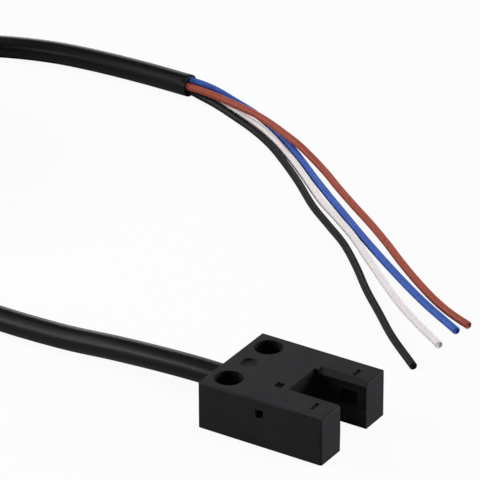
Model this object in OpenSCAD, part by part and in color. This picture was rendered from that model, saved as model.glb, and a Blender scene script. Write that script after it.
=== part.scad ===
/* [Housing] */
// Length from the cable face to the fork tips
body_l = 15.6; // [15:0.1:18]
// Width across both prongs
body_w = 13; // [12.6:0.1:16]
// Height from the mounting face to the top
body_h = 5.6; // [5.4:0.1:7]
// Thickness of the outer walls
wall_t = 0.8; // [0.6:0.05:0.9]
// Thickness of the roof
roof_t = 0.8; // [0.5:0.05:0.9]
// Rounding of the outer upper edges
edge_r = 0.3; // [0.1:0.05:0.5]
// Rounding of the upright corners
corner_r = 0.3; // [0.1:0.05:0.5]
// Play between pieces that are put together
fit = 0.05; // [0.02:0.01:0.08]

/* [Fork slot] */
// Width of the slot at its mouths
slot_w = 5.4; // [4.8:0.1:5.6]
// Depth of the slot, from the fork tips
slot_l = 6.5; // [6:0.1:7]
// Thickness of the walls round the slot
slot_wall_t = 0.8; // [0.6:0.05:0.9]
// Height of the mould's parting line on the slot walls
parting_h = 2.5; // [2:0.1:3]
// How far each slot wall leans in at the parting line
slot_draft = 0.06; // [0.02:0.01:0.1]
// Height of the chamfer along the receiver prong's inner upper edge
chamfer_h = 0.5; // [0.2:0.05:0.6]
// Width of that chamfer across the prong's top
chamfer_w = 0.75; // [0.3:0.05:0.8]
// Plain stretch between the slot's back wall and that chamfer
chamfer_gap = 0.4; // [0.2:0.05:0.8]

/* [Mounting holes] */
// Diameter of the holes, a clearance fit for M3
hole_d = 3.2; // [3:0.1:3.3]
// Distance between the holes
hole_pitch = 8; // [8:0.1:8.4]
// Distance of the holes from the cable face
hole_inset = 2.4; // [2.3:0.05:2.6]
// Wall of the bosses round the holes
boss_wall = 0.7; // [0.6:0.05:0.75]

/* [Optics] */
// Distance of the optical axis from the fork tips
axis_inset = 2.2; // [2.2:0.1:2.6]
// Distance of the optical axis below the top
axis_drop = 2.2; // [2.1:0.05:2.4]
// Width of the windows in the slot walls
window_w = 2.1; // [1.6:0.1:2.4]
// Height of the windows in the slot walls
window_h = 1.6; // [1.2:0.1:1.8]
// How far the windows' faces lie behind the slot walls
window_recess = 0.1; // [0.05:0.05:0.3]
// Flange of the windows, inside the walls
window_flange = 0.25; // [0.1:0.05:0.3]
// Thickness of that flange
window_flange_t = 0.3; // [0.2:0.05:0.4]
// Width of the emitter and receiver packages
opto_w = 2.4; // [1.8:0.1:2.6]
// Play of the emitter and receiver packages behind them and above them
opto_play = 0.25; // [0.1:0.05:0.4]
// Diameter of their lenses
lens_d = 1.3; // [0.9:0.1:1.6]
// How far the emitter's lens stands out
lens_rise = 0.3; // [0.15:0.05:0.4]

/* [Indicator] */
// Side of the square panes
pane = 0.95; // [0.7:0.05:1]
// Distance of the panes behind the slot's back wall
pane_setback = 1.3; // [1.3:0.05:1.5]
// Distance of the top pane from the near side
pane_inset = 4.1; // [3.8:0.05:4.2]
// Distance of the side pane below the top
pane_drop = 1.65; // [1.5:0.05:1.8]
// How far the light guide ends below the top
pane_recess = 0.12; // [0.05:0.01:0.4]

/* [Surface marks] */
// Diameter of the gate recess between the holes
gate_d = 1.9; // [1.6:0.1:2.6]
// Depth of the gate recess
gate_depth = 0.25; // [0.05:0.05:0.3]
// Length of the optical-axis marks on the prongs
mark_l = 1.4; // [0.8:0.1:1.8]
// Width of the optical-axis marks
mark_w = 0.45; // [0.15:0.05:0.6]
// Depth of the optical-axis marks
mark_depth = 0.25; // [0.05:0.05:0.3]
// Distance of the marks from the prongs' outer sides
mark_inset = 2.2; // [1.6:0.1:2.4]

/* [Bottom cover] */
// Thickness of the cover
cover_t = 0.7; // [0.5:0.05:0.75]
// Ledge in the housing that the cover seats on
cover_ledge = 0.3; // [0.2:0.05:0.35]
// Diameter of the posts under the board
post_d = 0.8; // [0.6:0.1:1.2]

/* [Circuit board] */
// Thickness of the board
board_t = 0.6; // [0.4:0.1:0.7]
// Height of the board above the cover
board_gap = 0.3; // [0.2:0.05:0.35]
// Ledge in the housing that the board seats against
board_ledge = 0.12; // [0.1:0.01:0.15]
// Distance between the cores' ends on the board
core_pitch = 1.3; // [1.1:0.05:1.35]

/* [Cable] */
// Outer diameter of the cable
cable_d = 2.8; // [2.7:0.05:2.9]
// Height of the cable's axis where it enters
cable_h = 2.8; // [2.7:0.05:2.9]
// Diameter of the insulated wires
wire_d = 0.9; // [0.8:0.02:0.94]
// Length of the crimp sleeve on the jacket
sleeve_l = 1.3; // [0.8:0.1:1.4]
// Wall of the crimp sleeve
sleeve_wall = 0.16; // [0.1:0.02:0.3]

/* [Cable coil] */
// Diameter at the middle of the turns
coil_d = 33; // [30:0.5:34]
// Turns side by side, and one on another
coil_rows = 3; // [2:1:3]
// Width of the tie on the coil
tie_w = 3; // [2:0.5:4]
// Thickness of the tie
tie_t = 0.5; // [0.3:0.1:0.8]
// Play between the tie and the coil
tie_fit = 0.15; // [0.12:0.01:0.3]

/* [Hidden] */
$fn = 48;

// Length by which a cutter runs past the face it opens
over = 1;

// Faces of the housing
back_x = -body_l / 2;
front_x = body_l / 2;
side_y = body_w / 2;
roof_z = body_h - roof_t;
slot_y = slot_w / 2;
slot_back_x = front_x - slot_l;

// Mounting holes and their bosses
hole_x = back_x + hole_inset;
hole_y = hole_pitch / 2;
boss_r = hole_d / 2 + boss_wall;

// Inner space: one bay behind the slot and one in each prong
bay_front_x = slot_back_x - slot_wall_t;
prong_y = slot_y + slot_wall_t;
axis_x = front_x - axis_inset;
axis_h = body_h - axis_drop;

// Board, set against its ledge from below
board_z = cover_t + board_gap;
board_top = board_z + board_t;
board_back_x = hole_x + boss_r - board_ledge + fit;

// Indicator panes and the LED under them
pane_x = slot_back_x - pane_setback;
pane_y = pane_inset - side_y;
pane_h = body_h - pane_drop;
guide = pane - 2 * fit;
led = [0.6, 1.0, 0.5];
guide_leg_t = 0.25;
guide_foot_t = 0.25;
guide_foot_z = board_top + led.z + fit;

// Emitter and receiver packages, between the windows and the outer walls
opto_y = prong_y + window_flange_t + lens_rise + fit;
opto_size = [opto_w, side_y - wall_t - opto_play - opto_y, roof_z - opto_play - board_top];

// Cable entry: the jacket ends inside, past the sleeve in its seat between the bosses
sleeve_gap = 0.4;
sleeve_play = 0.08;
sleeve_x = back_x + wall_t + sleeve_gap;
sleeve_r = cable_d / 2 + fit + sleeve_wall;
jacket_x = sleeve_x + sleeve_l + sleeve_gap;
saddle_drop = 0.8;

// Parts on the board: a row in front of the wires, and the rest in the prongs
part_gap = 0.2;
ic_size = [1.8, 2.2, 0.9];
transistor_size = [1.3, 1.2, 0.6];
resistor_size = [0.4, 0.8, 0.3];
resistor_count = 4;
capacitor_size = [1.6, 0.8, 0.8];
zener_size = [0.9, 0.7, 0.6];
row_x = bay_front_x - part_gap;
row_y = side_y - wall_t - part_gap;
prong_mid_y = (prong_y + side_y - wall_t) / 2;
prong_part_x = slot_back_x + part_gap;
guide_foot_l = led.y + 2 * (guide_leg_t + fit);
ic_at = [row_x - ic_size.x / 2, row_y - ic_size.y / 2];
resistor_start = pane_y + (guide_foot_l + resistor_size.y) / 2 + part_gap;
resistor_end = ic_at.y - (ic_size.y + resistor_size.y) / 2 - part_gap;
resistor_step = (resistor_end - resistor_start) / (resistor_count - 1);
transistor_at = [
    [row_x - transistor_size.x / 2, transistor_size.y / 2 - row_y],
    [prong_part_x + transistor_size.x / 2, -prong_mid_y]
];
zener_at = [prong_part_x + transistor_size.x + part_gap + zener_size.x / 2, -prong_mid_y];
capacitor_at = [prong_part_x + capacitor_size.x / 2, prong_mid_y];

// Wires in the jacket, and their ends on the board behind the resistors
bundle_play = 0.02;
bundle_r = wire_d / sqrt(2) + bundle_play;
core_straight = 0.3;
core_slope = 0.7;
core_drop = 0.5;
core_end_x = min(row_x - resistor_size.x, pane_x - guide / 2) - part_gap;
tube_sides = 8;

// Coil of the cable, on the floor beside the object, with the cable's free ends against its outside
coil_band = coil_rows * cable_d;
coil_gap = 0.2;
coil_reach = (coil_d + coil_band + cable_d) / 2 + coil_gap;
turn_r = (coil_d + coil_band - cable_d) / 2;
coil_at = [-84, coil_reach];
coil_z = tie_t + tie_fit;
tail_angle = 150;
tail_run = sqrt(pow(coil_reach, 2) - pow(turn_r, 2));
tail_start = coil_at
    + turn_r * [cos(tail_angle), sin(tail_angle)]
    + tail_run * [sin(tail_angle), -cos(tail_angle)];
tie_angle = 45;
tie_head = [2.4, 3.6, 3];

// Heights at which the cable and the wires lie on the floor
cable_z = cable_d / 2;
wire_z = wire_d / 2;

// Where the jacket ends in front of the wires
tail_end = [-53, 61.5, cable_z];

// Routes of the free cable and wires, laid on the floor
lead_route = [
    [jacket_x, 0, cable_h],
    [back_x - 4, 0, cable_h],
    [-17, 0, 2.6],
    [-23, 0, 2.2],
    [-29, 0, 1.65],
    [-36, 0, cable_z],
    [-48, 0, cable_z],
    [-66, 0, cable_z],
    [coil_at.x, 0, cable_z]
];
tail_route = [
    [tail_start.x, tail_start.y, 5.6],
    [-91.7, 47.5, 3.5],
    [-88.2, 52.3, 2],
    [-84.5, 55.9, cable_z],
    [-80, 58.2, cable_z],
    [-74, 60.3, cable_z],
    [-67, 61.3, cable_z],
    [-60, 61.6, cable_z],
    tail_end
];
brown_route = [
    bundle_point(tail_end, 165),
    [-51, 60.7, 1.6],
    [-48, 60.4, 1.5],
    [-45, 59.7, 1.5],
    [-42, 58.9, 1.5],
    [-39, 57.7, 1.5],
    [-36, 56.2, 1.5],
    [-33, 54.8, 1.3],
    [-30.5, 53.7, 0.75],
    [-28, 52.2, wire_z],
    [-24, 49.1, wire_z],
    [-20, 46.1, wire_z],
    [-16, 43.2, wire_z],
    [-12, 40.1, wire_z],
    [-8, 36.8, wire_z],
    [-4, 33.7, wire_z],
    [0, 30.9, wire_z],
    [3, 29.2, wire_z],
    [6, 27.9, wire_z]
];
blue_route = [
    bundle_point(tail_end, 75),
    [-51, 61.9, 1.8],
    [-49, 62.2, 1.2],
    [-47, 62.1, 0.65],
    [-45, 61.6, wire_z],
    [-42, 60.2, wire_z],
    [-38, 57.8, wire_z],
    [-34, 54.9, wire_z],
    [-31, 52.5, wire_z],
    [-27.5, 49.6, wire_z],
    [-24, 46.8, wire_z],
    [-20, 43.7, wire_z],
    [-16, 40.6, wire_z],
    [-12, 37.6, wire_z],
    [-8, 34.7, wire_z],
    [-4, 31.9, wire_z],
    [0, 29.3, wire_z],
    [5.5, 26.1, wire_z]
];
white_route = [
    bundle_point(tail_end, 345),
    [-51, 62.1, 0.7],
    [-49, 61.5, 0.5],
    [-45, 59.9, wire_z],
    [-41, 58.1, wire_z],
    [-37, 55.7, wire_z],
    [-33, 52.8, wire_z],
    [-29, 49.5, wire_z],
    [-24, 45.2, wire_z],
    [-20, 42.3, wire_z],
    [-16, 39.3, wire_z],
    [-12, 35.8, wire_z],
    [-8, 32.3, wire_z],
    [-4, 28.9, wire_z],
    [0, 25.9, wire_z],
    [5.5, 22.3, wire_z]
];
black_route = [
    bundle_point(tail_end, 255),
    [-51, 61.1, 0.5],
    [-49, 60.5, wire_z],
    [-45, 58.8, wire_z],
    [-41, 56.9, wire_z],
    [-37, 54.5, wire_z],
    [-33, 51.4, wire_z],
    [-29, 48, wire_z],
    [-24, 43.4, wire_z],
    [-20, 40.3, wire_z],
    [-16, 37.2, wire_z],
    [-12, 33.3, wire_z],
    [-8, 29, wire_z],
    [-4, 25.1, wire_z],
    [0, 21.2, wire_z],
    [5.5, 16.6, wire_z]
];

// Colours
housing_black = "#2c2c30";
jacket_black = "#242427";
smoke = "#3a1c1c";
board_green = "#1f5a3c";
chip_black = "#1d1d1f";
steel = "#b9bcc0";
brown = "#b0523e";
blue = "#3e64c8";
white = "#e8e4e2";
black = "#2d2c34";

// Place of one wire in the bundle of four that fills the jacket, at an angle round its axis
function bundle_point(centre, angle) = centre + bundle_r * [0, cos(angle), sin(angle)];

function unit(v) = v / norm(v);

// Direction of a route at one of its points; the ends may be given
function heading(route, i, first, last) =
    i == 0 && !is_undef(first) ? first :
    i == len(route) - 1 && !is_undef(last) ? last :
    unit(route[min(i + 1, len(route) - 1)] - route[max(i - 1, 0)]);

// Ring of points round a route's point, square to its direction, with a flat at the bottom
function ring(centre, along, r) =
    let (across = unit(cross(along, [0, 0, 1])), up = cross(across, along))
    [for (k = [0 : tube_sides - 1])
        let (a = (k + 0.5) * 360 / tube_sides)
        centre + r * (cos(a) * across + sin(a) * up)];

// Round tube swept along a route that never stands upright
module tube(route, d, first = undef, last = undef) {
    n = len(route);
    m = tube_sides;
    rings = [for (i = [0 : n - 1]) each ring(route[i], heading(route, i, first, last), d / 2)];
    skin = [for (i = [0 : n - 2], k = [0 : m - 1])
        let (a = i * m + k, b = i * m + (k + 1) % m)
        [a, a + m, b + m, b]];
    start_cap = [for (k = [0 : m - 1]) k];
    end_cap = [for (k = [m - 1 : -1 : 0]) (n - 1) * m + k];
    polyhedron(points = rings, faces = concat(skin, [start_cap, end_cap]));
}

// Upright block, centred on a point of its floor
module block(at, size) {
    translate([at.x - size.x / 2, at.y - size.y / 2, at.z])
        cube(size);
}

// Rectangle with round corners, centred
module rounded_rect(l, w, r) {
    square([l - 2 * r, w], center = true);
    square([l, w - 2 * r], center = true);
    for (sx = [-1, 1], sy = [-1, 1])
        translate([sx * (l / 2 - r), sy * (w / 2 - r)])
            circle(r);
}

// Upright section with round upper corners, standing on the axis
module crowned(w, h, r) {
    translate([-w / 2, 0])
        square([w, h - r]);
    translate([-w / 2 + r, 0])
        square([w - 2 * r, h]);
    for (s = [-1, 1])
        translate([s * (w / 2 - r), h - r])
            circle(r);
}

// Boss round a mounting hole and its webs to the corner of the housing, in plan
module boss_plan(grow) {
    r = boss_r - grow;
    translate([hole_x, hole_y])
        circle(r);
    translate([back_x, hole_y - r])
        square([hole_inset, side_y - hole_y + r]);
    translate([back_x, hole_y])
        square([hole_inset + r, side_y - hole_y]);
}

// Inner space in plan, grown outwards on all sides
module bay_plan(grow) {
    bay_back = back_x + wall_t - grow;
    bay_front = bay_front_x + grow;
    tip = front_x - wall_t + grow;
    inner = prong_y - grow;
    outer = side_y - wall_t + grow;
    difference() {
        polygon([
            [bay_back, -outer],
            [tip, -outer],
            [tip, -inner],
            [bay_front, -inner],
            [bay_front, inner],
            [tip, inner],
            [tip, outer],
            [bay_back, outer]
        ]);
        boss_plan(grow);
        mirror([0, 1])
            boss_plan(grow);
    }
}

// Solid form of the housing before it is hollowed
module housing_form() {
    intersection() {
        linear_extrude(body_h)
            rounded_rect(body_l, body_w, corner_r);
        rotate([90, 0, 90])
            linear_extrude(body_l + over, center = true)
                crowned(body_w, body_h, edge_r);
        rotate([90, 0, 0])
            linear_extrude(body_w + over, center = true)
                crowned(body_l, body_h, edge_r);
    }
}

// Bar along the length of the fork, from a section across it to past the tips
module fork_bar(from_x, section) {
    translate([from_x, 0, 0])
        rotate([90, 0, 90])
            linear_extrude(front_x + over - from_x)
                polygon(section);
}

// Slot between the prongs: its walls lean in to the parting line, and one has a chamfer above
module slot_cut() {
    waist_y = slot_y - slot_draft;
    fork_bar(slot_back_x, [
        [-slot_y, -over],
        [slot_y, -over],
        [slot_y, 0],
        [waist_y, parting_h],
        [slot_y, body_h],
        [slot_y, body_h + over],
        [-slot_y, body_h + over],
        [-slot_y, body_h],
        [-waist_y, parting_h],
        [-slot_y, 0]
    ]);
    slope = chamfer_h / chamfer_w;
    fork_bar(slot_back_x + chamfer_gap, [
        [0, body_h - chamfer_h - slope * slot_y],
        [slot_y + chamfer_w + over, body_h + slope * over],
        [0, body_h + slope * over]
    ]);
}

// Openings for the windows, the light guide, the cable and the screws
module housing_openings() {
    for (s = [-1, 1])
        translate([axis_x, s * (slot_y + prong_y) / 2, axis_h])
            cube([window_w, slot_wall_t + over / 2, window_h], center = true);
    block([pane_x, pane_y, roof_z - over], [pane, pane, roof_t + 2 * over]);
    translate([pane_x, -side_y, pane_h])
        cube([pane, 2 * wall_t + fit, pane], center = true);
    translate([back_x - over, 0, cable_h])
        rotate([0, 90, 0])
            cylinder(h = wall_t + 2 * over, d = cable_d + 2 * fit);
    for (s = [-1, 1])
        translate([hole_x, s * hole_y, -over])
            cylinder(h = body_h + 2 * over, d = hole_d);
}

// Seat of the sleeve and of the saddle under it, where they reach into the bosses or the roof
module sleeve_seat() {
    seat_r = sleeve_r + sleeve_play;
    seat_l = jacket_x - sleeve_x + sleeve_gap;
    translate([sleeve_x - sleeve_gap, 0, cable_h])
        rotate([0, 90, 0])
            cylinder(h = seat_l, r = seat_r);
    block([sleeve_x - sleeve_gap + seat_l / 2, 0, -over], [seat_l, 2 * seat_r, cable_h + over]);
}

// Gate recess between the holes and a mark on each prong at the optical axis
module surface_marks() {
    translate([hole_x, 0, body_h - gate_depth])
        cylinder(h = gate_depth + over, d = gate_d);
    for (s = [-1, 1])
        block(
            [axis_x, s * (side_y - mark_inset), body_h - mark_depth],
            [mark_w, mark_l, mark_depth + over]
        );
}

module housing() {
    color(housing_black)
        difference() {
            housing_form();
            slot_cut();
            translate([0, 0, -over]) {
                linear_extrude(cover_t + over)
                    bay_plan(cover_ledge + fit);
                linear_extrude(board_top + over)
                    bay_plan(board_ledge + fit);
                linear_extrude(roof_z + over)
                    bay_plan(0);
            }
            housing_openings();
            sleeve_seat();
            surface_marks();
        }
}

// Plate in the housing's underside, with posts under the board and a saddle under the sleeve
module bottom_cover() {
    saddle_h = cable_h - saddle_drop - cover_t;
    post_y = prong_y + (side_y - wall_t - prong_y) / 2;
    color(housing_black) {
        linear_extrude(cover_t)
            bay_plan(cover_ledge);
        for (x = [board_back_x + post_d, axis_x], s = [-1, 1])
            translate([x, s * post_y, cover_t])
                cylinder(h = board_gap, d = post_d);
        difference() {
            block([sleeve_x + sleeve_l / 2, 0, cover_t], [sleeve_l, 2 * sleeve_r, saddle_h]);
            translate([sleeve_x - over, 0, cable_h])
                rotate([0, 90, 0])
                    cylinder(h = sleeve_l + 2 * over, r = sleeve_r + fit);
        }
    }
}

// Dark insert in a slot wall, flanged inside; side is -1 at the emitter and 1 at the receiver
module window(side) {
    face_y = slot_y + window_recess;
    plug = [window_w - 2 * fit, prong_y - face_y, window_h - 2 * fit];
    flange_w = 2 * min(window_w / 2 + window_flange, axis_inset - wall_t - fit);
    flange = [flange_w, window_flange_t, window_h + 2 * window_flange];
    color(smoke)
        translate([axis_x, 0, axis_h]) {
            translate([0, side * (face_y + plug.y / 2), 0])
                cube(plug, center = true);
            translate([0, side * (prong_y + flange.y / 2), 0])
                cube(flange, center = true);
        }
}

module emitter_window() {
    window(-1);
}

module receiver_window() {
    window(1);
}

// Clear piece that carries the LED's light to the top pane and to the side pane
module light_guide() {
    post_h = body_h - pane_recess - guide_foot_z;
    arm_l = side_y - wall_t - fit + pane_y;
    color(smoke) {
        block([pane_x, pane_y, guide_foot_z], [guide, guide, post_h]);
        block([pane_x, pane_y, guide_foot_z], [guide, guide_foot_l, guide_foot_t]);
        block([pane_x, pane_y - arm_l / 2, pane_h - guide / 2], [guide, arm_l, guide]);
        for (s = [-1, 1])
            block(
                [pane_x, pane_y + s * (guide_foot_l - guide_leg_t) / 2, board_top],
                [guide, guide_leg_t, guide_foot_z - board_top]
            );
    }
}

// Fork-shaped board
module circuit_board() {
    color(board_green)
        translate([0, 0, board_z])
            linear_extrude(board_t)
                intersection() {
                    bay_plan(board_ledge);
                    translate([board_back_x, -side_y])
                        square([front_x - board_back_x, body_w]);
                }
}

// Side-looking package that stands on a leg of the board and faces the slot
module opto_package(side) {
    block([axis_x, side * (opto_y + opto_size.y / 2), board_top], opto_size);
}

module emitter() {
    dome_r = (lens_d * lens_d / 4 + lens_rise * lens_rise) / (2 * lens_rise);
    color("#30303a") {
        opto_package(-1);
        translate([axis_x, -opto_y, axis_h])
            rotate([-90, 0, 0])
                intersection() {
                    translate([0, 0, lens_rise - dome_r])
                        sphere(dome_r);
                    translate([0, 0, -lens_rise])
                        cylinder(h = 2 * lens_rise, d = lens_d);
                }
    }
}

module receiver() {
    dish_depth = 0.15;
    color(chip_black)
        difference() {
            opto_package(1);
            translate([axis_x, opto_y + dish_depth, axis_h])
                rotate([90, 0, 0])
                    cylinder(h = dish_depth + over, d = lens_d);
        }
}

// Part soldered on the board
module board_part(at, size) {
    block([at.x, at.y, board_top], size);
}

module indicator_led() {
    color("#e9dcae")
        board_part([pane_x, pane_y], led);
}

module control_ic() {
    color(chip_black)
        board_part(ic_at, ic_size);
}

module output_transistor(i) {
    color(chip_black)
        board_part(transistor_at[i], transistor_size);
}

module resistor(i) {
    color(chip_black)
        board_part([row_x - resistor_size.x / 2, resistor_start + i * resistor_step], resistor_size);
}

module capacitor() {
    color("#b99a72")
        board_part(capacitor_at, capacitor_size);
}

module zener_diode() {
    color(chip_black)
        board_part(zener_at, zener_size);
}

// Metal sleeve crimped on the jacket, behind the cable entry
module crimp_sleeve() {
    color(steel)
        translate([sleeve_x, 0, cable_h])
            rotate([0, 90, 0])
                difference() {
                    cylinder(h = sleeve_l, r = sleeve_r);
                    translate([0, 0, -over])
                        cylinder(h = sleeve_l + 2 * over, d = cable_d + 2 * fit);
                }
}

// End of one wire inside the housing, from the jacket down to the board
module core(angle, place, tint) {
    start = bundle_point([jacket_x, 0, cable_h], angle);
    end_y = place * core_pitch;
    end_z = board_top + wire_d / 2 * cos(180 / tube_sides);
    route = [
        start,
        start + [core_straight, 0, 0],
        [core_end_x - core_straight - core_slope, end_y, max(end_z, start.z - core_drop)],
        [core_end_x - core_straight, end_y, end_z],
        [core_end_x, end_y, end_z]
    ];
    color(tint)
        tube(route, wire_d, [1, 0, 0], [1, 0, 0]);
}

module cable_lead() {
    color(jacket_black)
        tube(lead_route, cable_d, [-1, 0, 0], [-1, 0, 0]);
}

module cable_tail() {
    color(jacket_black)
        tube(tail_route, cable_d, undef, [1, 0, 0]);
}

// Outer shape of the wound cable
module cable_coil() {
    color(jacket_black)
        translate([coil_at.x, coil_at.y, coil_z + coil_band / 2])
            rotate_extrude()
                translate([coil_d / 2, 0])
                    rounded_rect(coil_band, coil_band, cable_d / 2);
}

// Strap round the coil, with its head outside
module coil_tie() {
    inside = coil_band + 2 * tie_fit;
    outside = inside + 2 * tie_t;
    color(jacket_black)
        translate([coil_at.x, coil_at.y, outside / 2])
            rotate([0, 0, tie_angle])
                translate([coil_d / 2, 0, 0]) {
                    rotate([90, 0, 0])
                        linear_extrude(tie_w, center = true)
                            difference() {
                                rounded_rect(outside, outside, cable_d / 2 + tie_fit + tie_t);
                                rounded_rect(inside, inside, cable_d / 2 + tie_fit);
                            }
                    translate([outside / 2 + tie_head.x / 2, 0, 0])
                        cube(tie_head, center = true);
                }
}

module wire(route, tint) {
    color(tint)
        tube(route, wire_d, [1, 0, 0]);
}

housing();
bottom_cover();
emitter_window();
receiver_window();
light_guide();
circuit_board();
emitter();
receiver();
indicator_led();
control_ic();
output_transistor(0);  // output_transistor_1
output_transistor(1);  // output_transistor_2
resistor(0);  // resistor_1
resistor(1);  // resistor_2
resistor(2);  // resistor_3
resistor(3);  // resistor_4
capacitor();
zener_diode();
crimp_sleeve();
core(135, -1.5, brown);  // brown_core
core(45, 1.5, blue);  // blue_core
core(315, 0.5, white);  // white_core
core(225, -0.5, black);  // black_core
cable_lead();
cable_coil();
cable_tail();
coil_tie();
wire(brown_route, brown);  // brown_wire
wire(blue_route, blue);  // blue_wire
wire(white_route, white);  // white_wire
wire(black_route, black);  // black_wire
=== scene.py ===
import bmesh
import bpy
import numpy as np
from mathutils import Matrix


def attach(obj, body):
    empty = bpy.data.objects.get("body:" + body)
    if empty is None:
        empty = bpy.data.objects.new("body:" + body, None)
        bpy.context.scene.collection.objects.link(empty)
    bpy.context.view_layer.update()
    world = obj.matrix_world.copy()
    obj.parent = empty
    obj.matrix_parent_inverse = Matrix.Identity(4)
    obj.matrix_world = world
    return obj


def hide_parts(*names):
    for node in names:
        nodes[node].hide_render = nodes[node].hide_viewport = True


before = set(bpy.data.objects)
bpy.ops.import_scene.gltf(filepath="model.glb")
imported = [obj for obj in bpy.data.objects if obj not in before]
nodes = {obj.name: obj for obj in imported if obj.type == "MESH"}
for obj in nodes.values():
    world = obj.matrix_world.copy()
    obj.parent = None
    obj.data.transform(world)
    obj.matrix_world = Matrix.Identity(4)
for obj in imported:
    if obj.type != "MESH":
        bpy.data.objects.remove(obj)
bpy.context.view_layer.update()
scene = bpy.context.scene
scene.view_settings.view_transform = "Standard"
mm = 0.001
print("frame:", len(nodes), "nodes")


def unit(v):
    return v / np.linalg.norm(v, axis=-1, keepdims=True)


def smoothStep(x):
    x = np.clip(x, 0.0, 1.0)
    return x * x * (3 - 2 * x)


def addObject(name, data):
    obj = bpy.data.objects.new(name, data)
    scene.collection.objects.link(obj)
    return obj


def turnTo(obj, at, right, up, back):
    # a camera or lamp at a point in metres, its own three axes along the given ones
    pose = np.eye(4)
    pose[:3, :3] = np.stack((right, up, back), axis=1)
    pose[:3, 3] = at
    obj.matrix_world = Matrix(pose.tolist())


# the photograph's camera: a long lens from the front right, fitted to the block's corners
photoView = {
    "eye": (217.04, -349.16, 238.21),  # mm
    "right": (0.84338, 0.53730, -0.00412),
    "up": (-0.24699, 0.39448, 0.88509),
    "back": (0.47718, -0.74545, 0.46541),
    "lens": 330.0,  # mm
    "sensor": 36.0,  # width, mm
    "near": 0.01,  # m
    "far": 50.0,
}


def placeCamera(v):
    data = bpy.data.cameras.new("photoCamera")
    data.sensor_fit = "HORIZONTAL"
    data.sensor_width = v["sensor"]
    data.lens = v["lens"]
    data.clip_start = v["near"]
    data.clip_end = v["far"]
    scene.camera = addObject("photoCamera", data)
    turnTo(scene.camera, np.array(v["eye"]) * mm, v["right"], v["up"], v["back"])


placeCamera(photoView)
print("camera: placed")


def runAlong(points, power=1.0):
    # distance along the points up to each of them, every step raised to the power
    return np.concatenate(([0.0], np.cumsum(np.linalg.norm(np.diff(points, axis=0), axis=1) ** power)))


def readAlong(wanted, run, values):
    # values known at the distances of a run, read off at other distances
    return np.stack([np.interp(wanted, run, column) for column in values.T], axis=1)


def evenRoute(points, spacing, perSpan=24):
    # smooth cubic curve through all the points, its knots apart by the root of each step's length,
    # resampled at even distances along it
    p = np.asarray(points, float)
    p = np.vstack((2 * p[0] - p[1], p, 2 * p[-1] - p[-2]))
    knots = runAlong(p, 0.5)
    t0, t1, t2, t3 = (knots[i:len(knots) - 3 + i, None, None] for i in range(4))
    p0, p1, p2, p3 = (p[i:len(p) - 3 + i, None, :] for i in range(4))
    t = t1 + (t2 - t1) * np.linspace(0, 1, perSpan, endpoint=False)[None, :, None]

    def between(ta, tb, a, b):
        return (tb - t) / (tb - ta) * a + (t - ta) / (tb - ta) * b

    a1 = between(t0, t1, p0, p1)
    a2 = between(t1, t2, p1, p2)
    a3 = between(t2, t3, p2, p3)
    b1 = between(t0, t2, a1, a2)
    b2 = between(t1, t3, a2, a3)
    fine = np.vstack((between(t1, t2, b1, b2).reshape(-1, 3), p[-2]))
    run = runAlong(fine)
    even = np.linspace(0, run[-1], max(2, int(round(run[-1] / spacing)) + 1))
    return readAlong(even, run, fine)


def carryRing(name, path, along, radius, sides):
    # round tube: at each distance along the path, a ring of that radius square to it
    run = runAlong(path)
    at = readAlong(along, run, path)
    ahead = unit(readAlong(along, run, unit(np.gradient(path, axis=0))))
    across = unit(np.cross(ahead, (0.0, 0.0, 1.0)))
    up = np.cross(across, ahead)
    turn = np.linspace(0, 2 * np.pi, sides, endpoint=False)
    spoke = across[:, None] * np.cos(turn)[None, :, None] + up[:, None] * np.sin(turn)[None, :, None]
    grid = at[:, None] + radius[:, None, None] * spoke
    i = np.arange(len(along) - 1)[:, None]
    k = np.arange(sides)[None, :]
    k2 = (k + 1) % sides
    quads = np.stack((i * sides + k, (i + 1) * sides + k, (i + 1) * sides + k2, i * sides + k2), axis=-1)
    last = (len(along) - 1) * sides
    caps = [list(range(sides)), list(range(last + sides - 1, last - 1, -1))]
    mesh = bpy.data.meshes.new(name)
    mesh.from_pydata((grid.reshape(-1, 3) * mm).tolist(), [], quads.reshape(-1, 4).tolist() + caps)
    # UV: once round in u, millimetres along in v
    u0, v0 = np.broadcast_arrays(k / sides, along[:-1, None])
    u1, v1 = np.broadcast_arrays((k + 1) / sides, along[1:, None])
    corners = np.stack((u0, v0, u0, v1, u1, v1, u1, v0), axis=-1).reshape(-1)
    layer = mesh.uv_layers.new(name="UVMap")
    layer.data.foreach_set("uv", np.concatenate((corners, np.zeros(4 * sides))))
    mesh.shade_smooth()
    mesh.update()
    return addObject(name, mesh)


# copies of moulded solids with broken edges: the bevel's width in mm, and whether large slopes stay crisp
moulded = {
    "housingShell": {"node": "housing", "slot": "housing_black", "bevel": 0.04, "crispSlopes": True},
    "bottomCover": {"node": "bottom_cover", "slot": "housing_black", "bevel": 0.04, "crispSlopes": False},
    "coilTie": {"node": "coil_tie", "slot": "tie_black", "bevel": 0.12, "crispSlopes": False},
}
breaking = {
    "merge": 1e-7,  # m, corners nearer than this are one
    "joinAngle": np.radians(0.5),  # faces that meet at less are one face
    "crispAngle": np.radians(48),  # edges sharper than this are broken
    "roundAngle": np.radians(50),  # curved faces that meet at less are shaded as one
    "slope": (0.1, 0.9),  # share of up in a sloping face's normal
    "slopeArea": 2 * mm * mm,
    "square": 0.9999,  # share of one axis in a flat face's normal
    "steps": 2,
}


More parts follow.
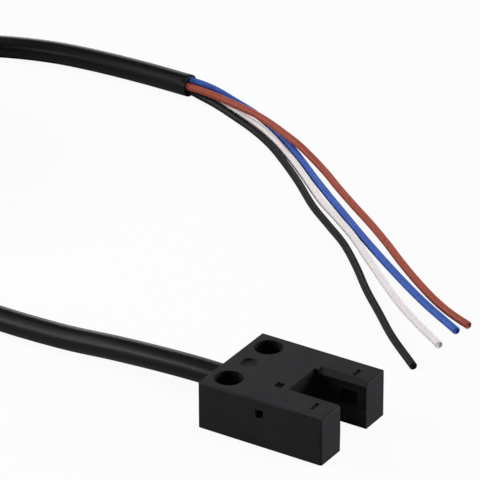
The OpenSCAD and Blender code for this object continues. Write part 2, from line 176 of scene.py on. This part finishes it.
def softEdged(name, m, b):
    # a merged copy of the solid: flat faces joined, crisp edges broken by a two-step round bevel,
    # flat faces shaded flat and the curved ones smooth
    bm = bmesh.new()
    bm.from_mesh(nodes[m["node"]].data)
    bmesh.ops.remove_doubles(bm, verts=bm.verts, dist=b["merge"])
    bmesh.ops.dissolve_limit(bm, angle_limit=b["joinAngle"], verts=bm.verts, edges=bm.edges)
    low, high = b["slope"]
    slopes = set()
    if m["crispSlopes"]:
        slopes = {f for f in bm.faces if low < abs(f.normal.z) < high and f.calc_area() > b["slopeArea"]}
    sharp = [e for e in bm.edges if e.calc_face_angle() > b["crispAngle"]]
    broken = [e for e in sharp if not slopes.intersection(e.link_faces)]
    made = bmesh.ops.bevel(bm, geom=broken, offset=m["bevel"] * mm, offset_type="OFFSET",
                           segments=b["steps"], profile=0.5, affect="EDGES", clamp_overlap=False)
    strips = set(made["faces"])
    flat = {f for f in bm.faces if max(map(abs, f.normal)) > b["square"] and f not in strips}
    flat = flat | {f for f in slopes if f.is_valid}
    for face in bm.faces:
        face.smooth = True
    for edge in bm.edges:
        curved = edge.calc_face_angle() < b["roundAngle"]
        edge.smooth = bool(curved and not flat.intersection(edge.link_faces))
    mesh = bpy.data.meshes.new(name)
    bm.to_mesh(mesh)
    bm.free()
    piece = addObject(name, mesh)
    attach(piece, "root")
    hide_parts(m["node"])
    return piece


mouldedPieces = {name: softEdged(name, m, breaking) for name, m in moulded.items()}
print("moulded pieces: edges broken")

# the black cable: straight out of the block, down to the floor, a tied coil out of view, and back
cable = {
    "diameter": 2.8,
    "exit": (-7.8, 0.0, 2.8),
    "bore": 2.24,  # room for the four wires in the cut end
    "boreDepth": 2.6,
    "edge": 0.06,  # rounding of the cut
    "tip": 0.05,  # radius of the caps that close the tube
    "spacing": 0.8,
    "beforeCut": 0.5,  # the last plain ring is at least this far from the cut
    "sides": 32,
    "lead": [(-4.9, 0, 2.8), (-11.8, 0, 2.8), (-17, 0, 2.6), (-23, 0, 2.2), (-29, 0, 1.65), (-36, 0, 1.4),
             (-48, 0, 1.4), (-57, 0, 1.4), (-66, 0, 1.4), (-75, 0, 1.4)],
    "link": [(-99.3, 36.4, 7.2), (-97.3, 39.4, 6.7)],  # off the coil's top, clear of the turn below
    "tail": [(-95.13, 41.62, 5.6), (-91.7, 47.5, 3.5), (-88.2, 52.3, 2.0), (-84.5, 55.9, 1.4),
             (-80, 58.2, 1.4), (-76, 59.7, 1.4), (-72, 60.7, 1.4), (-67, 61.3, 1.4), (-60, 61.6, 1.4),
             (-53, 61.5, 1.4)],
}
coil = {
    "centre": (-84.0, 22.3),
    "radius": 16.5,  # at the middle of the turns
    "lift": 0.65,  # over the tie's strap, which passes under the coil
    "rest": 0.05,  # what is left of the lift on the far side
    "tieAngle": 45.0,
    "enter": 270.0,
    "turns": 8,
    "last": 120.0,  # degrees of the last part turn
    "change": 28.0,  # degrees in which a turn moves to the next place
    "merge": 75.0,  # degrees in which the lead joins the outer turn
    "step": 8.0,  # degrees from point to point
    "across": (1, 0, -1, -1, -1, 0, 0, 1, 1),  # places in the order they fill, in diameters
    "stacked": (0, 0, 0, 1, 2, 2, 1, 1, 2),
}


def coilRoute(c, d):
    # turns on a 3 by 3 grid of places, each turn moving to the place beside it, a little earlier every time
    ring = c["radius"] + d * np.array(c["across"])
    level = c["lift"] + d / 2 + d * np.array(c["stacked"])
    u = np.arange(0, c["turns"] * 360 + c["last"] + c["step"] / 2, c["step"])
    lap = np.minimum(np.floor(u / 360), c["turns"])
    start = 360 - (lap + 1) * c["change"]
    place = lap + np.where(lap < c["turns"], smoothStep((u - 360 * lap - start) / c["change"]), 0.0)
    joined = smoothStep(u / c["merge"])
    spots = np.arange(len(ring))
    r = np.interp(place, spots, ring) + (1 - joined) * (c["centre"][1] - ring[0])
    turn = np.radians(c["enter"] - u)
    tilt = (c["lift"] - c["rest"]) * (1 - np.cos(turn - np.radians(c["tieAngle"]))) / 2
    z = np.interp(place, spots, level) - tilt
    z = joined * z + (1 - joined) * d / 2
    return np.stack((c["centre"][0] + r * np.cos(turn), c["centre"][1] + r * np.sin(turn), z), axis=1)


def makeCable(c):
    route = np.vstack((c["lead"], coilRoute(coil, c["diameter"]), c["link"], c["tail"]))
    path = evenRoute(route, c["spacing"])
    r, e, bore, tip, depth = c["diameter"] / 2, c["edge"], c["bore"] / 2, c["tip"], c["boreDepth"]
    path[:, 2] = np.maximum(path[:, 2], r)
    end = runAlong(path)[-1]
    body = np.arange(0.0, end - c["beforeCut"], c["spacing"])
    # after the body: the rounded cut, across its face, and back down the bore
    corner = e * 0.3
    along = np.concatenate(([0.0, 0.0], body, end - np.array((e, corner, 0.0, 0.0, e, depth, depth))))
    radius = np.concatenate(([tip, r - e], np.full(len(body), r),
                             [r, r - corner, r - e, bore + e, bore, bore, tip]))
    piece = carryRing("cable", path, along, radius, c["sides"])
    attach(piece, "root")
    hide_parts("cable_lead", "cable_coil", "cable_tail")
    print("cable: %.0f mm long" % end)
    return piece


cablePiece = makeCable(cable)

# the four wires out of the cut jacket, fanned out on the floor
wires = {
    "diameter": 0.9,
    "from": (-53.0, 61.5, 1.4),
    "bundle": 0.656,  # radius of the four wires' centres in the jacket
    "inside": 2.3,  # how far they start inside it
    "copper": 0.58,  # across the strands
    "sunk": 0.12,
    "slant": 0.02,  # of the wall round the copper
    "edge": 0.09,  # rounding of the cut
    "tip": 0.02,  # radius of the caps that close the tube
    "spacing": 0.5,
    "beforeCut": 0.4,
    "sides": 20,
    "routes": {
        "brown": {
            "angle": 165,  # place in the bundle, degrees
            "raised": [(-51, 60.7, 1.6), (-48, 60.4, 1.5), (-45, 59.7, 1.5), (-42, 58.9, 1.5),
                       (-39, 57.7, 1.5), (-36, 56.2, 1.5), (-33, 54.8, 1.3), (-30.5, 53.7, 0.75)],
            "lying": [(-28, 52.2), (-24, 49.1), (-20, 46.1), (-16, 43.2), (-12, 40.1), (-8, 36.8),
                      (-4, 33.7), (0, 30.9), (3, 29.2), (6, 27.9)],
        },
        "blue": {
            "angle": 75,
            "raised": [(-51, 61.9, 1.8), (-49, 62.2, 1.2), (-47, 62.1, 0.65)],
            "lying": [(-45, 61.6), (-42, 60.2), (-38, 57.8), (-34, 54.9), (-31, 52.5), (-27.5, 49.6),
                      (-24, 46.8), (-20, 43.7), (-16, 40.6), (-12, 37.6), (-8, 34.7), (-4, 31.9),
                      (0, 29.3), (5.5, 26.1)],
        },
        "white": {
            "angle": 345,
            "raised": [(-51, 62.1, 0.7), (-49, 61.5, 0.5)],
            "lying": [(-45, 59.9), (-41, 58.1), (-37, 55.7), (-33, 52.8), (-29, 49.5), (-24, 45.2),
                      (-20, 42.3), (-16, 39.3), (-12, 35.8), (-8, 32.3), (-4, 28.9), (0, 25.9),
                      (5.5, 22.3)],
        },
        "black": {
            "angle": 255,
            "raised": [(-51, 61.1, 0.5)],
            "lying": [(-49, 60.5), (-45, 58.8), (-41, 56.9), (-37, 54.5), (-33, 51.4), (-29, 48),
                      (-24, 43.4), (-20, 40.3), (-16, 37.2), (-12, 33.3), (-8, 29), (-4, 25.1),
                      (0, 21.2), (5.5, 16.6)],
        },
    },
}


def makeWire(w, tint):
    route = w["routes"][tint]
    r, e, tip, sides = w["diameter"] / 2, w["edge"], w["tip"], w["sides"]
    core, sunk = w["copper"] / 2, w["sunk"]
    turn = np.radians(route["angle"])
    spot = np.array(w["from"]) + w["bundle"] * np.array((0, np.cos(turn), np.sin(turn)))
    inside = spot - np.outer((w["inside"], w["inside"] / 2), (1, 0, 0))
    lying = np.column_stack((route["lying"], np.full(len(route["lying"]), r)))
    path = evenRoute(np.vstack((inside, spot, route["raised"], lying)), w["spacing"])
    path[:, 2] = np.maximum(path[:, 2], r)
    end = runAlong(path)[-1]
    body = np.arange(0.0, end - w["beforeCut"], w["spacing"])
    # the cut end: the rim rounded by a quarter circle, then the copper a little below it
    rim = np.radians((0, 22.5, 45, 67.5, 90))
    along = np.concatenate(([0.0, 0.0], body, end - e * (1 - np.sin(rim)),
                            end - np.array((0.0, sunk, sunk, sunk))))
    radius = np.concatenate(([tip, r - e], np.full(len(body), r), r - e * (1 - np.cos(rim)),
                             [core + w["slant"], core, core * 0.5, tip]))
    piece = carryRing(tint + "Wire", path, along, radius, sides)
    # the last two rings and the last cap are the cut copper
    faces = len(piece.data.polygons)
    slots = np.zeros(faces, np.int32)
    slots[faces - 2 - 2 * sides:faces - 2] = 1
    slots[faces - 1] = 1
    piece.data.polygons.foreach_set("material_index", slots)
    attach(piece, "root")
    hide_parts(tint + "_wire")
    return piece


wirePieces = {tint: makeWire(wires, tint) for tint in wires["routes"]}


def newMaterial(name):
    material = bpy.data.materials.new(name)
    material.use_nodes = True
    tree = material.node_tree
    return material, tree, tree.nodes["Principled BSDF"]


def addNode(tree, kind, **values):
    node = tree.nodes.new(kind)
    for key, value in values.items():
        if key in node.inputs:
            node.inputs[key].default_value = value
        else:
            setattr(node, key, value)
    return node


def feed(tree, socket, value):
    # a number or a colour is set on the socket, another node's output is linked to it
    if isinstance(value, float):
        socket.default_value = value
    elif isinstance(value, tuple):
        socket.default_value = (*value, 1)
    else:
        tree.links.new(value, socket)


def reckon(tree, operation, first, second=0.0):
    node = addNode(tree, "ShaderNodeMath", operation=operation)
    feed(tree, node.inputs[0], first)
    feed(tree, node.inputs[1], second)
    return node.outputs[0]


def mixColours(tree, share, first, second):
    # inputs 6 and 7 and output 2 are the Mix node's colours
    mix = addNode(tree, "ShaderNodeMix", data_type="RGBA")
    feed(tree, mix.inputs[0], share)
    feed(tree, mix.inputs[6], first)
    feed(tree, mix.inputs[7], second)
    return mix.outputs[2]


def noiseAt(tree, coords, size, detail):
    # noise whose lumps are about this many millimetres across
    noise = addNode(tree, "ShaderNodeTexNoise", Scale=1 / (size * mm), Detail=detail)
    tree.links.new(coords, noise.inputs["Vector"])
    return noise.outputs["Fac"]


def spread(tree, value, low, high):
    # most of a noise lies between 0.3 and 0.7, and that is stretched from low to high
    ends = {"From Min": 0.3, "From Max": 0.7, "To Min": low, "To Max": high}
    node = addNode(tree, "ShaderNodeMapRange", **ends)
    tree.links.new(value, node.inputs["Value"])
    return node.outputs["Result"]


def twoTone(tree, value, dark, light):
    return mixColours(tree, spread(tree, value, 0.0, 1.0), dark, light)


def bumpFrom(tree, value, strength, depth, normal=None):
    bump = addNode(tree, "ShaderNodeBump", Strength=strength, Distance=depth * mm)
    tree.links.new(value, bump.inputs["Height"])
    if normal is not None:
        tree.links.new(normal, bump.inputs["Normal"])
    return bump.outputs["Normal"]


# painted shade: the slot's upper walls and the screw holes' walls are given a darker colour, in mm
paintedShadeWalls = {
    "slot": (1.15, 7.77),  # from and to, along the block
    "slotHalf": 2.77,
    "slotFoot": 2.3,  # the slot's walls have no painted shade below this
    "hole": (-5.4, 4.0),  # centre, the other hole mirrored
    "holeRadius": 1.63,
    "below": 5.57,
    # colour of the painted shade, darker than the housing's own
    "tone": (0.0100, 0.0100, 0.0110),
}


def onPaintedShadeWalls(tree, coords, w):
    # 1 where shade is painted: inside the upper slot's box or the holes' cylinders and below the top, else
    #                           0
    split = addNode(tree, "ShaderNodeSeparateXYZ")
    tree.links.new(coords, split.inputs[0])
    x, z = split.outputs["X"], split.outputs["Z"]
    side = reckon(tree, "ABSOLUTE", split.outputs["Y"])
    length = reckon(tree, "MULTIPLY", reckon(tree, "GREATER_THAN", x, w["slot"][0] * mm),
                    reckon(tree, "LESS_THAN", x, w["slot"][1] * mm))
    breadth = reckon(tree, "MULTIPLY", reckon(tree, "GREATER_THAN", z, w["slotFoot"] * mm),
                     reckon(tree, "LESS_THAN", side, w["slotHalf"] * mm))
    inSlot = reckon(tree, "MULTIPLY", length, breadth)
    dx = reckon(tree, "SUBTRACT", x, w["hole"][0] * mm)
    dy = reckon(tree, "SUBTRACT", side, w["hole"][1] * mm)
    away = reckon(tree, "ADD", reckon(tree, "MULTIPLY", dx, dx), reckon(tree, "MULTIPLY", dy, dy))
    inHole = reckon(tree, "LESS_THAN", away, (w["holeRadius"] * mm) ** 2)
    return reckon(tree, "MULTIPLY", reckon(tree, "MAXIMUM", inSlot, inHole),
                  reckon(tree, "LESS_THAN", z, w["below"] * mm))


plastics = {
    "housing": {"dark": (0.0193, 0.0193, 0.0214), "light": (0.0240, 0.0240, 0.0264), "cloud": 2.5,
                "grain": 0.09, "rough": 0.62, "bump": 0.35, "depth": 0.012, "specular": 0.06,
                "walls": paintedShadeWalls},
    "window": {"dark": (0.0012, 0.0010, 0.0011), "light": (0.0024, 0.0016, 0.0018), "cloud": 1.2,
               "grain": 0.2, "rough": 0.22, "bump": 0.04, "depth": 0.004, "specular": 0.04},
    "board": {"dark": (0.010, 0.060, 0.030), "light": (0.016, 0.085, 0.044), "cloud": 0.8,
              "grain": 0.15, "rough": 0.42, "bump": 0.1, "depth": 0.01, "specular": 0.4},
    "opto": {"dark": (0.012, 0.012, 0.018), "light": (0.018, 0.018, 0.026), "cloud": 0.8,
             "grain": 0.2, "rough": 0.2, "bump": 0.03, "depth": 0.004, "specular": 0.5},
    "led": {"dark": (0.60, 0.52, 0.30), "light": (0.74, 0.66, 0.42), "cloud": 0.3,
            "grain": 0.1, "rough": 0.3, "bump": 0.05, "depth": 0.005, "specular": 0.5},
    "chip": {"dark": (0.012, 0.012, 0.013), "light": (0.020, 0.020, 0.022), "cloud": 0.5,
             "grain": 0.06, "rough": 0.6, "bump": 0.3, "depth": 0.01, "specular": 0.3},
    "capacitor": {"dark": (0.34, 0.23, 0.12), "light": (0.44, 0.31, 0.17), "cloud": 0.3,
                  "grain": 0.05, "rough": 0.5, "bump": 0.2, "depth": 0.01, "specular": 0.4},
    "tie": {"dark": (0.012, 0.012, 0.013), "light": (0.018, 0.018, 0.019), "cloud": 1.5,
            "grain": 0.12, "rough": 0.45, "bump": 0.15, "depth": 0.01, "specular": 0.3},
}


def grainedPlastic(name, look):
    # moulded plastic: cloudy two-tone colour, painted shade on the walls where given, spark-eroded grain in
    # the bump, uneven gloss
    material, tree, shader = newMaterial(name)
    coords = addNode(tree, "ShaderNodeTexCoord").outputs["Object"]
    cloud = noiseAt(tree, coords, look["cloud"], 3.0)
    grain = noiseAt(tree, coords, look["grain"], 2.0)
    colour = twoTone(tree, cloud, look["dark"], look["light"])
    # painted shade: the slot's upper walls and the holes' walls take the darker colour
    if "walls" in look:
        colour = mixColours(tree, onPaintedShadeWalls(tree, coords, look["walls"]), colour, look["walls"]["tone"])
    tree.links.new(colour, shader.inputs["Base Color"])
    uneven = 0.06  # roughness, either way
    gloss = spread(tree, grain, look["rough"] - uneven, look["rough"] + uneven)
    tree.links.new(gloss, shader.inputs["Roughness"])
    tree.links.new(bumpFrom(tree, grain, look["bump"], look["depth"]), shader.inputs["Normal"])
    shader.inputs["Specular IOR Level"].default_value = look["specular"]
    return material


vinyls = {
    "jacket": {"dark": (0.0030, 0.0029, 0.0035), "light": (0.0042, 0.0041, 0.0048), "streaks": 26.0,
               "lumps": 0.7, "rough": 0.37, "bump": 0.10, "specular": 0.185},
    "brown": {"dark": (0.305, 0.061, 0.037), "light": (0.362, 0.078, 0.049), "streaks": 14.0,
              "lumps": 0.6, "rough": 0.45, "bump": 0.06, "specular": 0.14},
    "blue": {"dark": (0.033, 0.086, 0.365), "light": (0.045, 0.114, 0.430), "streaks": 14.0,
             "lumps": 0.6, "rough": 0.45, "bump": 0.06, "specular": 0.14},
    "white": {"dark": (0.76, 0.705, 0.705), "light": (0.84, 0.78, 0.78), "streaks": 14.0,
              "lumps": 0.6, "rough": 0.45, "bump": 0.02, "specular": 0.20},
    "black": {"dark": (0.0048, 0.0048, 0.0061), "light": (0.0069, 0.0066, 0.0085), "streaks": 14.0,
              "lumps": 0.6, "rough": 0.5, "bump": 0.10, "specular": 0.16},
}
drawn = {
    "perMm": 0.05,  # how fast the streaks change along the length
    "duller": 0.07,  # roughness of the streaks, up and down
    "glossier": 0.05,
    "depth": 0.02,  # mm
}


def drawnVinyl(name, look, d):
    # extruded insulation: fine streaks along the length from the UV, small lumps, a satin gloss
    material, tree, shader = newMaterial(name)
    source = addNode(tree, "ShaderNodeTexCoord")
    stretch = addNode(tree, "ShaderNodeMapping", Scale=(look["streaks"], d["perMm"], 1))
    tree.links.new(source.outputs["UV"], stretch.inputs["Vector"])
    streak = addNode(tree, "ShaderNodeTexNoise", Scale=1.0, Detail=3.0)
    tree.links.new(stretch.outputs["Vector"], streak.inputs["Vector"])
    lumps = noiseAt(tree, source.outputs["Object"], look["lumps"], 2.0)
    tree.links.new(twoTone(tree, lumps, look["dark"], look["light"]), shader.inputs["Base Color"])
    gloss = spread(tree, streak.outputs["Fac"], look["rough"] - d["glossier"], look["rough"] + d["duller"])
    tree.links.new(gloss, shader.inputs["Roughness"])
    soft = bumpFrom(tree, streak.outputs["Fac"], look["bump"], d["depth"])
    tree.links.new(bumpFrom(tree, lumps, look["bump"], d["depth"], soft), shader.inputs["Normal"])
    shader.inputs["Specular IOR Level"].default_value = look["specular"]
    return material


metals = {
    # the cut copper: dull oxide, and painted shade that darkens it far below copper's own colour, as in the
    # shade of the sunk end
    "cutCopperPaintedShade": {"strand": 0.12, "light": (0.070, 0.038, 0.026), "dark": (0.016, 0.009, 0.006),
                  "rough": 0.5, "bump": 0.6, "depth": 0.03},
    "sleeveSteel": {"strand": 0.25, "light": (0.60, 0.60, 0.62), "dark": (0.48, 0.48, 0.50),
                    "rough": 0.35, "bump": 0.6, "depth": 0.03},
}


def drawnMetal(name, look):
    # ends of fine strands or a drawn skin: round cells in colour and bump, a dull metal
    material, tree, shader = newMaterial(name)
    coords = addNode(tree, "ShaderNodeTexCoord").outputs["Object"]
    cells = addNode(tree, "ShaderNodeTexVoronoi", Scale=1 / (look["strand"] * mm))
    tree.links.new(coords, cells.inputs["Vector"])
    reach = cells.outputs["Distance"]
    tree.links.new(twoTone(tree, reach, look["light"], look["dark"]), shader.inputs["Base Color"])
    tree.links.new(bumpFrom(tree, reach, look["bump"], look["depth"]), shader.inputs["Normal"])
    shader.inputs["Metallic"].default_value = 1.0
    shader.inputs["Roughness"].default_value = look["rough"]
    return material


plasticOf = {key: grainedPlastic(key + "Plastic", look) for key, look in plastics.items()}
vinylOf = {key: drawnVinyl(key + "Vinyl", look, drawn) for key, look in vinyls.items()}
metalOf = {key: drawnMetal(key, look) for key, look in metals.items()}


def dress(piece, *materials):
    piece.data.materials.clear()
    for material in materials:
        piece.data.materials.append(material)


dress(cablePiece, vinylOf["jacket"])
for tint, piece in wirePieces.items():
    dress(piece, vinylOf[tint], metalOf["cutCopperPaintedShade"])
dress(mouldedPieces["housingShell"], plasticOf["housing"])
dress(mouldedPieces["bottomCover"], plasticOf["housing"])
dress(mouldedPieces["coilTie"], plasticOf["tie"])

# solids shown as they are: those not named here are small moulded packages on the board
nodeFinish = {
    "emitter_window": plasticOf["window"],
    "receiver_window": plasticOf["window"],
    "light_guide": plasticOf["window"],
    "circuit_board": plasticOf["board"],
    "emitter": plasticOf["opto"],
    "receiver": plasticOf["opto"],
    "indicator_led": plasticOf["led"],
    "capacitor": plasticOf["capacitor"],
    "crimp_sleeve": metalOf["sleeveSteel"],
    "brown_core": vinylOf["brown"],
    "blue_core": vinylOf["blue"],
    "white_core": vinylOf["white"],
}
for name, obj in nodes.items():
    for holder in obj.material_slots:
        holder.material = nodeFinish.get(name, plasticOf["chip"])
print("finishes: given to every piece")

# pale floor: white to the camera with a soft shadow, pale in mirrors, mid grey to bounced light
studio = {
    "floorHalf": 3.0,  # m
    "floorDrop": 0.00002,  # just under the part
    "floorGrey": (0.50, 0.50, 0.51),
    "floorPale": (0.60, 0.60, 0.60),
    "floorGlow": 0.93,
    "floorShade": (0.05, 0.05, 0.05),  # share of the seen floor that takes shadows
    "skyLevel": 0.04,
    "skyTint": (0.95, 0.96, 1.0),
    "aim": (-0.025, 0.025, 0.0),
    "lamps": {
        "topBox": {"at": (0.036, 0.086, 0.492), "size": 0.30, "watts": 1.00},
        "backRightBox": {"at": (0.380, 0.298, 0.104), "size": 0.20, "watts": 2.36},
        "backLeftBox": {"at": (-0.337, 0.397, 0.121), "size": 0.20, "watts": 0.38},
        "leftBox": {"at": (-0.453, -0.098, 0.227), "size": 0.20, "watts": 1.55},
        "frontLeftBox": {"at": (-0.0975, -0.095, 0.0565), "size": 0.06, "watts": 0.070},
    },
}


def diffuse(tree, colour):
    return addNode(tree, "ShaderNodeBsdfDiffuse", Color=(*colour, 1)).outputs[0]


def choose(tree, share, other, picked):
    mix = addNode(tree, "ShaderNodeMixShader")
    tree.links.new(share, mix.inputs[0])
    tree.links.new(other, mix.inputs[1])
    tree.links.new(picked, mix.inputs[2])
    return mix.outputs[0]


def makeFloor(s):
    half = s["floorHalf"]
    corners = np.array(((-half, -half), (half, -half), (half, half), (-half, half)))
    mesh = bpy.data.meshes.new("floor")
    mesh.from_pydata(np.column_stack((corners, np.full(4, -s["floorDrop"]))).tolist(), [], [[0, 1, 2, 3]])
    addObject("floor", mesh)
    material, tree, shader = newMaterial("paleFloor")
    tree.nodes.remove(shader)
    path = addNode(tree, "ShaderNodeLightPath").outputs
    mirrored = reckon(tree, "MAXIMUM", path["Is Glossy Ray"], path["Is Transmission Ray"])
    glow = addNode(tree, "ShaderNodeEmission", Color=(1, 1, 1, 1), Strength=s["floorGlow"])
    white = addNode(tree, "ShaderNodeAddShader")
    tree.links.new(diffuse(tree, s["floorShade"]), white.inputs[0])
    tree.links.new(glow.outputs[0], white.inputs[1])
    unseen = choose(tree, mirrored, diffuse(tree, s["floorGrey"]), diffuse(tree, s["floorPale"]))
    look = choose(tree, path["Is Camera Ray"], unseen, white.outputs[0])
    tree.links.new(look, tree.nodes["Material Output"].inputs["Surface"])
    mesh.materials.append(material)


def makeSky(s):
    world = bpy.data.worlds.new("studioSky")
    world.use_nodes = True
    scene.world = world
    tree = world.node_tree
    lit = tree.nodes["Background"]
    lit.inputs["Color"].default_value = (*s["skyTint"], 1)
    lit.inputs["Strength"].default_value = s["skyLevel"]
    white = addNode(tree, "ShaderNodeBackground", Color=(1, 1, 1, 1), Strength=1.0)
    path = addNode(tree, "ShaderNodeLightPath").outputs
    look = choose(tree, path["Is Camera Ray"], lit.outputs[0], white.outputs[0])
    tree.links.new(look, tree.nodes["World Output"].inputs["Surface"])


def makeLamp(name, lamp, aim):
    data = bpy.data.lights.new(name, "AREA")
    data.energy = lamp["watts"]
    data.shape = "DISK"
    data.size = lamp["size"]
    obj = addObject(name, data)
    obj.visible_camera = False
    at = np.array(lamp["at"])
    back = unit(at - aim)
    right = unit(np.cross((0.0, 0.0, 1.0), back))
    turnTo(obj, at, right, np.cross(back, right), back)


makeFloor(studio)
makeSky(studio)
for name, lamp in studio["lamps"].items():
    makeLamp(name, lamp, studio["aim"])
print("studio: floor, sky and lamps")

bpy.context.view_layer.update()
